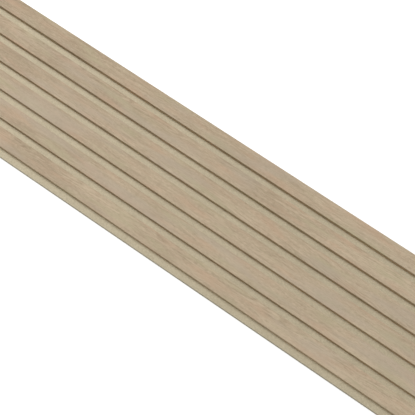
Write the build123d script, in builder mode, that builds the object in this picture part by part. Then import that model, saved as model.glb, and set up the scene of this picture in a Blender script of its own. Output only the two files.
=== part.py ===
# Acoustic slat panel: six wood-faced slats glued to one felt board.
# It lies face up. X runs along the slats, Y across them and Z up through the thickness,
# with the origin under the middle of the felt's back. All sizes are in millimetres.

import os

from build123d import *

# Slats
panel_length = 2400.0  # slats and felt are sawn to one length
slat_count = 6
slat_width = 35.0
slat_thickness = 12.0
groove_width = 15.0  # bare felt between two slats
arris_radius = 1.0  # eased long edges of the face, where the veneer turns down the sides
glue_edge_bevel = 0.4  # bevel on the long edges that meet the felt
end_bevel = 0.5  # sawn ends, lightly sanded on the face side

# Felt board
felt_thickness = 9.0
flange_width = 15.0  # felt left bare past the last slat, one groove wide
felt_edge_radius = 0.8  # soft corner where the knife pressed the felt's face down

slat_pitch = slat_width + groove_width
slat_field_width = slat_count * slat_width + (slat_count - 1) * groove_width
felt_width = slat_field_width + flange_width
flush_edge = felt_width / 2  # the first slat is flush with the felt along this edge


# Middle of a slat's width, counted from the flush edge towards the flange.
def slat_centre(index):
    return flush_edge - slat_width / 2 - index * slat_pitch


# Felt board: one flat piece under all the slats and the flange.
with BuildPart() as felt_backing:
    with BuildSketch(Plane.YZ) as felt_section:
        Rectangle(felt_width, felt_thickness, align=(Align.CENTER, Align.MIN))
        face_corners = felt_section.vertices().group_by(Axis.Y)[-1]
        fillet(face_corners.sort_by(Axis.X)[0], felt_edge_radius)
    extrude(amount=panel_length / 2, both=True)
felt_backing.part.label = "felt_backing"


# One slat: a strip with its two face edges rounded and its glued edges bevelled.
def make_slat(index):
    with BuildPart() as slat:
        with BuildSketch(Plane.YZ) as section:
            with Locations((slat_centre(index), felt_thickness)):
                Rectangle(slat_width, slat_thickness, align=(Align.CENTER, Align.MIN))
            fillet(section.vertices().group_by(Axis.Y)[-1], arris_radius)
            chamfer(section.vertices().group_by(Axis.Y)[0], glue_edge_bevel)
        extrude(amount=panel_length / 2, both=True)
        end_faces = slat.faces().filter_by(Axis.X)
        face_end_edges = end_faces.edges().filter_by(Axis.Y).group_by(Axis.Z)[-1]
        chamfer(face_end_edges, end_bevel)
    slat.part.label = f"slat_{index + 1}"
    return slat.part


slats = [make_slat(index) for index in range(slat_count)]

os.makedirs("parts", exist_ok=True)
for piece in [felt_backing.part, *slats]:
    export_step(piece, f"parts/{piece.label}.step")
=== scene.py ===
import math

import bpy
from mathutils import Matrix, Vector


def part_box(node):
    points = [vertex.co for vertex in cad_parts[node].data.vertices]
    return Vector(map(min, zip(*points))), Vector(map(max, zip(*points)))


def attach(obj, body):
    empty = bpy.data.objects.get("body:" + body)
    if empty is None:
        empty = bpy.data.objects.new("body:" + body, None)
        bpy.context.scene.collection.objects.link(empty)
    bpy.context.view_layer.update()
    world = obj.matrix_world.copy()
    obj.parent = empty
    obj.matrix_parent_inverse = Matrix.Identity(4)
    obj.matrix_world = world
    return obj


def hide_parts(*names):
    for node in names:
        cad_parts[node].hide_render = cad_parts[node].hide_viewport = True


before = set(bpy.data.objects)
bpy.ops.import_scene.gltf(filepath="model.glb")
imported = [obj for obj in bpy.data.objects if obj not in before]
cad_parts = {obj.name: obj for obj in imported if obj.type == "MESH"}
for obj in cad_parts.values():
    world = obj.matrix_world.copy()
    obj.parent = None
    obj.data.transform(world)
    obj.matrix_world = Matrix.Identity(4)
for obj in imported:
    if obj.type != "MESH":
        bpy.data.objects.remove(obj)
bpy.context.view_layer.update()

# Acoustic slat panel: six oak-faced slats on a felt board, lying face up on a pale floor.
# Everything is in metres. X runs along the slats, Y towards the flush edge, Z up.

slatNodes = sorted(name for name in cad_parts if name.startswith("slat_"))
slatBoxes = [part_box(name) for name in slatNodes]
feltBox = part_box("felt_backing")
print("frame loaded:", len(slatNodes), "slats on the felt")


# Modelling helpers

modelling = {
    "samePlace": 0.00001,  # two places this near are one
    "square": 0.9,  # least share of a normal along an axis, in a face that is square to it
    "smoothUnder": math.radians(35),  # edges that turn less are shaded smooth
}


def near(value, target):
    return abs(value - target) < modelling["samePlace"]


def deselectAll():
    if bpy.context.object and bpy.context.object.mode != "OBJECT":
        bpy.ops.object.mode_set(mode="OBJECT")
    bpy.ops.object.select_all(action="DESELECT")


def makeActive(piece):
    deselectAll()
    piece.select_set(True)
    bpy.context.view_layer.objects.active = piece


def applyPlace(piece):
    makeActive(piece)
    bpy.ops.object.transform_apply(location=True, rotation=True, scale=True)


def applyModifiers(piece):
    makeActive(piece)
    for modifier in list(piece.modifiers):
        bpy.ops.object.modifier_apply(modifier=modifier.name)


def clearSelection(piece, kind):
    makeActive(piece)
    bpy.ops.object.mode_set(mode="EDIT")
    bpy.ops.mesh.select_mode(type=kind)
    bpy.ops.mesh.select_all(action="DESELECT")
    bpy.ops.object.mode_set(mode="OBJECT")


def editWithEdges(piece, wanted):
    # opens edit mode with only the edges selected whose two ends pass the test
    clearSelection(piece, "EDGE")
    for edge in piece.data.edges:
        first, second = (piece.data.vertices[index].co for index in edge.vertices)
        edge.select = wanted(first, second)
    bpy.ops.object.mode_set(mode="EDIT")


def editWithFaces(piece, wanted):
    # opens edit mode with only the faces selected that pass the test
    clearSelection(piece, "FACE")
    for face in piece.data.polygons:
        face.select = wanted(face)
    bpy.ops.object.mode_set(mode="EDIT")


def finishMesh(piece):
    # leaves edit mode with every face pointing outwards and the gentle edges shaded smooth
    bpy.ops.mesh.select_all(action="SELECT")
    bpy.ops.mesh.normals_make_consistent(inside=False)
    makeActive(piece)
    bpy.ops.object.shade_smooth_by_angle(angle=modelling["smoothUnder"])


# Material helpers

# A pattern is one layer of noise. Its scale counts features in a metre along X, Y and Z, and its
# weight says how much it moves a tone.

nodeGrid = {"rows": 5, "across": 200, "down": 180}  # where new nodes stand in the editor
noiseMiddle = 0.5  # the value that most noise swings around


def newMaterial(name):
    material = bpy.data.materials.new(name)
    material.use_nodes = True
    material.node_tree.nodes.clear()
    return material, material.node_tree


def addNode(tree, kind, **settings):
    node = tree.nodes.new(kind)
    column, row = divmod(len(tree.nodes), nodeGrid["rows"])
    node.location = (nodeGrid["across"] * column, -nodeGrid["down"] * row)
    for key, value in settings.items():
        setattr(node, key, value)
    return node


def feed(tree, socket, value):
    # a socket takes a link, or a plain value
    if isinstance(value, bpy.types.NodeSocket):
        tree.links.new(value, socket)
    else:
        socket.default_value = value


def objectCoords(tree):
    return addNode(tree, "ShaderNodeTexCoord").outputs["Object"]


def splitCoords(tree, coords):
    axes = addNode(tree, "ShaderNodeSeparateXYZ")
    tree.links.new(coords, axes.inputs[0])
    return axes.outputs


def joinedCoords(tree, *axes):
    node = addNode(tree, "ShaderNodeCombineXYZ")
    for socket, value in zip(node.inputs, axes):
        feed(tree, socket, value)
    return node.outputs[0]


def noise(tree, coords, pattern, shift=(0, 0, 0), turn=0.0):
    place = addNode(tree, "ShaderNodeMapping")
    place.inputs["Location"].default_value = shift
    place.inputs["Rotation"].default_value = (0, 0, turn)
    place.inputs["Scale"].default_value = pattern["scale"]
    tree.links.new(coords, place.inputs["Vector"])
    node = addNode(tree, "ShaderNodeTexNoise")
    node.inputs["Scale"].default_value = 1.0  # the mapping scales
    node.inputs["Detail"].default_value = pattern["detail"]
    node.inputs["Roughness"].default_value = pattern["roughness"]
    node.inputs["Distortion"].default_value = pattern.get("distortion", 0.0)
    tree.links.new(place.outputs["Vector"], node.inputs["Vector"])
    return node.outputs["Fac"]


def calc(tree, operation, *values):
    node = addNode(tree, "ShaderNodeMath", operation=operation)
    for socket, value in zip(node.inputs, values):
        feed(tree, socket, value)
    return node.outputs[0]


def blended(tree, start, *layers):
    # adds each layer's swing around its middle value, times its weight
    total = start
    for value, pattern in layers:
        swing = calc(tree, "SUBTRACT", value, pattern.get("middle", noiseMiddle))
        total = calc(tree, "MULTIPLY_ADD", swing, pattern["weight"], total)
    return total


def ranged(tree, value, low, high, toLow=0.0, toHigh=1.0):
    node = addNode(tree, "ShaderNodeMapRange", interpolation_type="SMOOTHSTEP")
    feed(tree, node.inputs["Value"], value)
    node.inputs["From Min"].default_value = low
    node.inputs["From Max"].default_value = high
    node.inputs["To Min"].default_value = toLow
    node.inputs["To Max"].default_value = toHigh
    return node.outputs["Result"]


def mixed(tree, factor, first, second, blend="MIX"):
    # in a colour mix, inputs 6 and 7 and output 2 are the colours
    node = addNode(tree, "ShaderNodeMix", data_type="RGBA", blend_type=blend)
    feed(tree, node.inputs[0], factor)
    feed(tree, node.inputs[6], first)
    feed(tree, node.inputs[7], second)
    return node.outputs[2]


def bumped(tree, height, bump):
    node = addNode(tree, "ShaderNodeBump")
    node.inputs["Strength"].default_value = bump["strength"]
    node.inputs["Distance"].default_value = bump["depth"]
    tree.links.new(height, node.inputs["Height"])
    return node.outputs["Normal"]


def linear(channel):
    # the sRGB curve, from 0 to 1
    return channel / 12.92 if channel <= 0.04045 else ((channel + 0.055) / 1.055) ** 2.4


def screenColour(*channels):
    # a colour as a screen shows it, red, green and blue from 0 to 255, made linear for a socket
    return (*(linear(channel / 255) for channel in channels), 1.0)


def finishShader(tree, colour, normal, look):
    shader = addNode(tree, "ShaderNodeBsdfPrincipled")
    tree.links.new(colour, shader.inputs["Base Color"])
    tree.links.new(normal, shader.inputs["Normal"])
    shader.inputs["Roughness"].default_value = look["roughness"]
    shader.inputs["Sheen Weight"].default_value = look.get("sheen", 0.0)
    output = addNode(tree, "ShaderNodeOutputMaterial")
    tree.links.new(shader.outputs["BSDF"], output.inputs["Surface"])


panel = {
    "paintedLightWave": 2.6,  # radians a metre of a slow wave along the whole panel that paints light: sheen on the oak and shade on the felt where it rises
}


# painted light along the panel: the wave lightens the oak as painted sheen and darkens the felt as
# painted shade
def paintedLightAlong(tree, x):
    return calc(tree, "SINE", calc(tree, "MULTIPLY", x, panel["paintedLightWave"]))


# Slats: one strip is modelled, and the others are copies moved to their own nodes

slat = {
    "arrisRadius": 0.001,
    "arrisSteps": 4,
    "glueBevel": 0.0004,
    "endBevel": 0.0005,
    "endSteps": 2,
    "veneer": 0.0006,
}


def modelSlat(low, high, core):
    deselectAll()
    bpy.ops.mesh.primitive_cube_add(size=1, location=(low + high) / 2)
    strip = bpy.context.object
    strip.scale = high - low
    applyPlace(strip)
    strip.data.materials.append(None)  # each slat's own oak comes here
    strip.data.materials.append(core)
    coreSlot = strip.data.materials.find(core.name)

    def longAt(height):
        return lambda a, b: near(a.z, height) and near(b.z, height) and near(a.y, b.y)

    def acrossFaceEnd(a, b):
        return near(a.z, high.z) and near(b.z, high.z) and near(a.x, b.x)

    editWithEdges(strip, longAt(high.z))
    bpy.ops.mesh.bevel(offset=slat["arrisRadius"], segments=slat["arrisSteps"], affect="EDGES")
    editWithEdges(strip, longAt(low.z))
    bpy.ops.mesh.bevel(offset=slat["glueBevel"], segments=1, affect="EDGES")
    editWithEdges(strip, acrossFaceEnd)
    bpy.ops.mesh.bevel(offset=slat["endBevel"], segments=slat["endSteps"], affect="EDGES")

    # the end bevel runs out into the arris and leaves doubled points there
    bpy.ops.mesh.select_all(action="SELECT")
    bpy.ops.mesh.remove_doubles(threshold=modelling["samePlace"])

    def sawnEnd(face):
        return abs(face.normal.x) > modelling["square"]

    def bareUnder(face):
        atEnd = sawnEnd(face) and face.center.z < low.z + slat["veneer"]
        return atEnd or face.normal.z < -modelling["square"]

    # the sawn ends show the core inside a thin line of veneer, which the glued side lacks
    editWithFaces(strip, sawnEnd)
    bpy.ops.mesh.inset(thickness=slat["veneer"], use_individual=True)
    strip.active_material_index = coreSlot
    bpy.ops.object.material_slot_assign()
    editWithFaces(strip, bareUnder)
    bpy.ops.object.material_slot_assign()
    finishMesh(strip)
    return strip


def copySlat(strip, step):
    other = strip.copy()
    other.data = strip.data.copy()
    other.data.transform(Matrix.Translation(step))
    bpy.context.scene.collection.objects.link(other)
    return other


# Pale oak veneer for the face and sides, and plain brown fibreboard for the core

oak = {
    "light": screenColour(200, 181, 154),
    "dark": screenColour(152, 132, 107),
    "pore": screenColour(116, 94, 68),
    # hues that come and go, each with the value of its noise at which it is full
    "rose": {"colour": screenColour(190, 159, 132), "fullAt": 0.72},
    "sage": {"colour": screenColour(175, 166, 133), "fullAt": 0.28},
    "grey": {"colour": screenColour(180, 165, 146), "fullAt": 0.7},
    "castShare": 0.5,  # most that such a hue takes of the colour
    "sideShadeTint": (1.0, 0.97, 0.88, 1.0),  # painted shade: the sides, which lie in shade, are tinted a little browner than the face
    "sideShadeFade": (0.5, 1.5),  # where that painted shade starts and is full, in arris radii under the face
    "roughness": 0.6,
    "bump": {"strength": 0.35, "depth": 0.0002},
    "fibreRelief": 0.4,  # height of the fibres beside the pores' depth
    "tone": 0.41,  # from light, 0, to dark, 1, before the patterns are added
    # painted sheen: the oak is lighter where the wave along the panel rises
    "paintedLightWave": {"weight": -0.2, "middle": 0.0},
    "drift": {"cut": "face", "scale": (5, 26, 26), "detail": 2, "roughness": 0.5, "weight": 0.8},
    "hue": {"cut": "below", "scale": (9, 44, 44), "detail": 2, "roughness": 0.55},
    "tint": {"cut": "deep", "scale": (6, 30, 30), "detail": 2, "roughness": 0.5},
    "wave": {"cut": "face", "scale": (9, 42, 42), "detail": 3, "roughness": 0.55},
    "sway": {"cut": "below", "scale": (14, 45, 45), "detail": 2, "roughness": 0.5},
    "swayReach": 0.012,  # metres from side to side
    "streak": {
        "cut": "face", "scale": (19, 230, 230), "detail": 3, "roughness": 0.6,
        "distortion": 0.3, "weight": 1.15,
    },
    "fleck": {
        "cut": "below", "scale": (130, 620, 620), "detail": 2, "roughness": 0.6, "weight": 1.15,
    },
    "fibre": {
        "cut": "face", "scale": (45, 1500, 1500), "detail": 3, "roughness": 0.6, "weight": 0.6,
    },
    "pores": {"cut": "face", "scale": (170, 3600, 3600), "detail": 1, "roughness": 0.5},
    "poreEdge": (0.6, 0.72),  # noise at which a pore starts, and at which it is full
    "poreZone": (0.1, 0.8),  # darkness of a ring's band from which pores come, and are all there
    "poresOutside": 0.15,  # what is left of the pores outside the bands
    "poreShare": 0.55,  # most that a pore takes of the colour
    "rings": {
        "along": 17.0,  # rings in a metre along the slat
        "across": 4.2,  # rings from the heart to half a slat's width beside it
        "wave": 5.0,  # most rings that the wave moves them by
        "rise": (0.0, 0.3),  # where a dark band comes and goes, in shares of a ring
        "fall": (0.85, 0.35),
        "hearts": (0.85, 0.45, -0.55, 1.15, -0.8, 0.4),  # in widths from each slat's middle
        "weight": 0.22,
        "middle": 0.4,
    },
    # each slat is cut from another part of the log: a pattern's place on the first slat, and the
    # step from slat to slat, both in features
    "cuts": {
        "face": ((1.3, 0.0, 0.0), (3.7, 5.1, 0.0)),
        "below": ((2.0, 10.3, 4.0), (5.1, 3.7, 0.0)),
        "deep": ((2.0, 0.0, 7.0), (5.1, 5.1, 0.0)),
    },
}
fibreboard = {
    "light": screenColour(158, 132, 98),
    "dark": screenColour(122, 98, 70),
    "roughness": 0.9,
    "bump": {"strength": 0.4, "depth": 0.0002},
    "tone": 0.5,
    "toneRange": (0.35, 0.65),
    "speck": {"scale": (900, 900, 900), "detail": 3, "roughness": 0.7, "weight": 0.7},
    "skins": {"scale": (60, 60, 500), "detail": 2, "roughness": 0.5, "weight": 0.3},
}


def oakMaterial(index, low, high):
    material, tree = newMaterial(f"oakSlat{index + 1}")
    width = high.y - low.y
    middle = (low.y + high.y) / 2

    def layer(name, coords):
        first, step = oak["cuts"][oak[name]["cut"]]
        shift = [start + index * move for start, move in zip(first, step)]
        return noise(tree, coords, oak[name], shift)

    # the veneer is folded over both long edges, so its pattern runs on down the sides
    x, y, z = splitCoords(tree, objectCoords(tree))
    drop = calc(tree, "SUBTRACT", high.z, z)
    outward = calc(tree, "SIGN", calc(tree, "SUBTRACT", y, middle))
    across = calc(tree, "MULTIPLY_ADD", drop, outward, y)
    place = joinedCoords(tree, x, across, high.z)

    # growth rings: long arches around the heart line, gently waved
    rings = oak["rings"]
    heart = middle + rings["hearts"][index % len(rings["hearts"])] * width
    aside = calc(tree, "DIVIDE", calc(tree, "SUBTRACT", across, heart), width / 2)
    arches = calc(tree, "MULTIPLY", calc(tree, "MULTIPLY", aside, aside), rings["across"])
    field = calc(tree, "MULTIPLY_ADD", x, rings["along"], arches)
    field = calc(tree, "MULTIPLY_ADD", layer("wave", place), rings["wave"], field)
    phase = calc(tree, "FRACT", field)
    rise = ranged(tree, phase, *rings["rise"])
    fall = ranged(tree, phase, *rings["fall"])
    band = calc(tree, "MULTIPLY", rise, fall)

    # streaks, flecks and fibres follow lines that sway a little, and the pores lie in the bands
    sway = calc(tree, "SUBTRACT", layer("sway", place), noiseMiddle)
    swayed = calc(tree, "MULTIPLY_ADD", sway, oak["swayReach"], across)
    grain = joinedCoords(tree, x, swayed, high.z)
    fibre = layer("fibre", grain)
    pores = ranged(tree, layer("pores", grain), *oak["poreEdge"])
    poreZone = ranged(tree, band, *oak["poreZone"], oak["poresOutside"], 1.0)
    pores = calc(tree, "MULTIPLY", pores, poreZone)

    tone = blended(
        tree, oak["tone"],
        (layer("streak", grain), oak["streak"]),
        (layer("fleck", grain), oak["fleck"]),
        (fibre, oak["fibre"]),
        (layer("drift", place), oak["drift"]),
        (band, rings),
        # painted sheen along the panel
        (paintedLightAlong(tree, x), oak["paintedLightWave"]),
    )
    colour = mixed(tree, tone, oak["light"], oak["dark"])
    hue = layer("hue", place)
    for value, cast in ((hue, "rose"), (hue, "sage"), (layer("tint", place), "grey")):
        share = ranged(tree, value, noiseMiddle, oak[cast]["fullAt"], 0.0, oak["castShare"])
        colour = mixed(tree, share, colour, oak[cast]["colour"])
    colour = mixed(tree, calc(tree, "MULTIPLY", pores, oak["poreShare"]), colour, oak["pore"])
    # painted shade: the sides under the arris are tinted browner, as they look in shade
    sides = ranged(tree, drop, *(share * slat["arrisRadius"] for share in oak["sideShadeFade"]))
    colour = mixed(tree, sides, colour, oak["sideShadeTint"], "MULTIPLY")

    relief = calc(tree, "SUBTRACT", calc(tree, "MULTIPLY", fibre, oak["fibreRelief"]), pores)
    finishShader(tree, colour, bumped(tree, relief, oak["bump"]), oak)
    return material


def fibreboardMaterial():
    material, tree = newMaterial("fibreboard")
    place = objectCoords(tree)
    speck = noise(tree, place, fibreboard["speck"])
    skins = noise(tree, place, fibreboard["skins"])  # flat layers in the board's thickness
    tone = blended(
        tree, fibreboard["tone"], (speck, fibreboard["speck"]), (skins, fibreboard["skins"])
    )
    tone = ranged(tree, tone, *fibreboard["toneRange"])
    colour = mixed(tree, tone, fibreboard["dark"], fibreboard["light"])
    finishShader(tree, colour, bumped(tree, speck, fibreboard["bump"]), fibreboard)
    return material


firstLow, firstHigh = slatBoxes[0]
firstSlat = modelSlat(firstLow, firstHigh, fibreboardMaterial())
slatPieces = [firstSlat]
for low, high in slatBoxes[1:]:
    slatPieces.append(copySlat(firstSlat, low - firstLow))
for index, (piece, name, box) in enumerate(zip(slatPieces, slatNodes, slatBoxes)):
    piece.name = f"oak_{name}"
    piece.data.materials[0] = oakMaterial(index, *box)
    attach(piece, "root")
    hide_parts(name)
print("slats made:", len(slatPieces))


# Felt board: a fine grid with a softly uneven face, closed downwards to its flat back

felt = {
    "cell": 0.005,
    "unevenness": 0.00025,
    "lumpSize": 0.012,
    "lumpDetail": 2,
    "edgeSoftness": 0.0008,
    "edgeSteps": 3,
    "light": screenColour(214, 203, 178),
    "dark": screenColour(180, 169, 144),
    "roughness": 0.95,
    "sheen": 0.15,
    "bump": {"strength": 0.4, "depth": 0.0003},
    "clumpRelief": 0.5,  # height of the clumps beside the fibres'
    "tone": 0.47,  # from dark, 0, to light, 1, before the patterns are added
    # painted shade: the felt is darker where the wave along the panel rises
    "paintedLightWave": {"weight": -0.09, "middle": 0.0},
    "fibre": {
        "scale": (200, 2400, 2400), "detail": 2, "roughness": 0.5, "distortion": 0.6,
        "weight": 1.8, "middle": 0.62,
    },
    "turns": (0.3, 1.1, 1.9, 2.7),  # ways that the fibres lie, in radians
    "apart": (1, 3, 0),  # features that each way is shifted by, for a radian of its turn
    "clump": {"scale": (620, 620, 620), "detail": 2, "roughness": 0.5, "weight": 1.6},
    "cloud": {"scale": (30, 30, 30), "detail": 2, "roughness": 0.5, "weight": 0.4},
}


def modelFelt(low, high):
    size = high - low
    deselectAll()
    bpy.ops.mesh.primitive_grid_add(
        x_subdivisions=round(size.x / felt["cell"]),
        y_subdivisions=round(size.y / felt["cell"]),
        size=1,
        location=((low.x + high.x) / 2, (low.y + high.y) / 2, high.z),
    )
    sheet = bpy.context.object
    sheet.scale = (size.x, size.y, 1)
    applyPlace(sheet)
    lumps = bpy.data.textures.new("feltLumps", "CLOUDS")
    lumps.noise_scale = felt["lumpSize"]
    lumps.noise_depth = felt["lumpDetail"]
    uneven = sheet.modifiers.new("uneven", "DISPLACE")
    uneven.texture = lumps
    uneven.texture_coords = "LOCAL"
    uneven.direction = "Z"
    uneven.strength = felt["unevenness"]
    uneven.mid_level = 1.0  # only pressed in, never proud of the board
    applyModifiers(sheet)

    # the sheet becomes a board with a flat back
    makeActive(sheet)
    bpy.ops.object.mode_set(mode="EDIT")
    bpy.ops.mesh.select_all(action="SELECT")
    bpy.ops.mesh.extrude_region_move(TRANSFORM_OT_translate={"value": (0, 0, -size.z)})
    bpy.ops.transform.resize(value=(1, 1, 0), center_override=(0, 0, low.z))

    # the knife pressed down the face's corner along the flange
    lowestFace = high.z - 2 * felt["unevenness"]  # well under the deepest lump

    def flangeCorner(a, b):
        return near(a.y, low.y) and near(b.y, low.y) and min(a.z, b.z) > lowestFace

    editWithEdges(sheet, flangeCorner)
    bpy.ops.mesh.bevel(offset=felt["edgeSoftness"], segments=felt["edgeSteps"], affect="EDGES")
    finishMesh(sheet)
    return sheet


def feltMaterial():
    material, tree = newMaterial("beigeFelt")
    place = objectCoords(tree)
    fibres = 0.0
    for turn in felt["turns"]:  # long thin noise laid several ways reads as matted fibres
        shift = [turn * step for step in felt["apart"]]
        fibres = calc(tree, "MAXIMUM", fibres, noise(tree, place, felt["fibre"], shift, turn))
    clumps = noise(tree, place, felt["clump"])
    clouds = noise(tree, place, felt["cloud"])
    x = splitCoords(tree, place)[0]
    tone = blended(
        tree, felt["tone"],
        (fibres, felt["fibre"]),
        (clumps, felt["clump"]),
        (clouds, felt["cloud"]),
        # painted shade along the panel
        (paintedLightAlong(tree, x), felt["paintedLightWave"]),
    )
    colour = mixed(tree, tone, felt["dark"], felt["light"])
    relief = calc(tree, "MULTIPLY_ADD", clumps, felt["clumpRelief"], fibres)
    finishShader(tree, colour, bumped(tree, relief, felt["bump"]), felt)
    return material


feltPiece = modelFelt(*feltBox)
feltPiece.name = "felt_board"
feltPiece.data.materials.clear()
feltPiece.data.materials.append(feltMaterial())
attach(feltPiece, "root")
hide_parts("felt_backing")
print("felt made:", len(feltPiece.data.polygons), "faces")


# Floor and world: white to the camera, a plain pale surface to everything else

backdrop = {
    "floorSize": 14.0,
    "drop": 0.0003,  # under the felt, so that no two faces share a plane
    "floorColour": (0.55, 0.55, 0.55, 1.0),
    "floorGlow": 0.65,
    "skyColour": (1.0, 0.98, 0.89, 1.0),  # slightly warm
    "skyStrength": 0.28,
    "seenColour": (1.0, 1.0, 1.0, 1.0),
    "seenStrength": 1.0,
}


def directRay(tree):
    # 1 for rays that show the backdrop itself, in the camera or through gloss and glass
    path = addNode(tree, "ShaderNodeLightPath")
    seen = calc(tree, "MAXIMUM", path.outputs["Is Camera Ray"], path.outputs["Is Glossy Ray"])
    return calc(tree, "MAXIMUM", seen, path.outputs["Is Transmission Ray"])


def chooseByRay(tree, lighting, seen, outputKind):
    # one shader lights the object, and the other shows in the picture
    choose = addNode(tree, "ShaderNodeMixShader")
    tree.links.new(directRay(tree), choose.inputs[0])
    tree.links.new(lighting.outputs[0], choose.inputs[1])
    tree.links.new(seen.outputs[0], choose.inputs[2])
    output = addNode(tree, outputKind)
    tree.links.new(choose.outputs[0], output.inputs["Surface"])


def makeFloor():
    deselectAll()
    bpy.ops.mesh.primitive_plane_add(size=backdrop["floorSize"], location=(0, 0, -backdrop["drop"]))
    floor = bpy.context.object
    floor.name = "floor"
    material, tree = newMaterial("paleFloor")
    matt = addNode(tree, "ShaderNodeBsdfDiffuse")
    matt.inputs["Color"].default_value = backdrop["floorColour"]
    glow = addNode(tree, "ShaderNodeEmission")
    glow.inputs["Strength"].default_value = backdrop["floorGlow"]
    both = addNode(tree, "ShaderNodeAddShader")
    tree.links.new(matt.outputs[0], both.inputs[0])
    tree.links.new(glow.outputs[0], both.inputs[1])
    chooseByRay(tree, matt, both, "ShaderNodeOutputMaterial")
    floor.data.materials.append(material)


def addBackground(tree, colour, strength):
    background = addNode(tree, "ShaderNodeBackground")
    background.inputs["Color"].default_value = colour
    background.inputs["Strength"].default_value = strength
    return background


def makeWorld():
    world = bpy.data.worlds.new("studio")
    bpy.context.scene.world = world
    world.use_nodes = True
    tree = world.node_tree
    tree.nodes.clear()
    sky = addBackground(tree, backdrop["skyColour"], backdrop["skyStrength"])
    white = addBackground(tree, backdrop["seenColour"], backdrop["seenStrength"])
    chooseByRay(tree, sky, white, "ShaderNodeOutputWorld")


makeFloor()
makeWorld()
print("floor and world made")


# Light: a broad overhead light that falls equally on the whole floor, and a softbox far to the
# left that fades along the panel

overhead = {
    "from": Vector((0.4, 0.32, 3.2)),
    "spread": math.radians(34),
    "strength": 1.16,
}
softbox = {
    "from": Vector((-3.2, 0.1, 2.4)),
    "size": 1.5,
    "power": 72.0,
}


def makeLight(name, kind, place):
    # every lamp points at the middle of the floor
    lamp = bpy.data.lights.new(name, kind)
    holder = bpy.data.objects.new(name, lamp)
    bpy.context.scene.collection.objects.link(holder)
    holder.location = place
    holder.rotation_euler = (-place).to_track_quat("-Z", "Y").to_euler()
    return lamp


overheadLamp = makeLight("overhead", "SUN", overhead["from"])
overheadLamp.angle = overhead["spread"]
overheadLamp.energy = overhead["strength"]
softboxLamp = makeLight("softbox", "AREA", softbox["from"])
softboxLamp.shape = "SQUARE"
softboxLamp.size = softbox["size"]
softboxLamp.energy = softbox["power"]


# Camera: high over the flange side, turned so that the slats run down to the right

camera = {
    "turn": math.radians(35.13),  # from +Y towards -X
    "height": math.radians(70.55),
    "distance": 2.161,
    "lens": 95.42,  # millimetres, as the sensor
    "sensor": 36.0,
    "target": Vector((0.0, -0.0022, 0.021)),
}


def makeCamera():
    lens = bpy.data.cameras.new("camera")
    lens.lens = camera["lens"]
    lens.sensor_width = camera["sensor"]
    holder = bpy.data.objects.new("camera", lens)
    bpy.context.scene.collection.objects.link(holder)
    flat = math.cos(camera["height"])
    forward = Vector((
        -math.sin(camera["turn"]) * flat,
        math.cos(camera["turn"]) * flat,
        -math.sin(camera["height"]),
    ))
    holder.location = camera["target"] - forward * camera["distance"]
    holder.rotation_euler = forward.to_track_quat("-Z", "Y").to_euler()
    bpy.context.scene.camera = holder


makeCamera()
bpy.context.scene.view_settings.view_transform = "Standard"
print("light and camera placed")
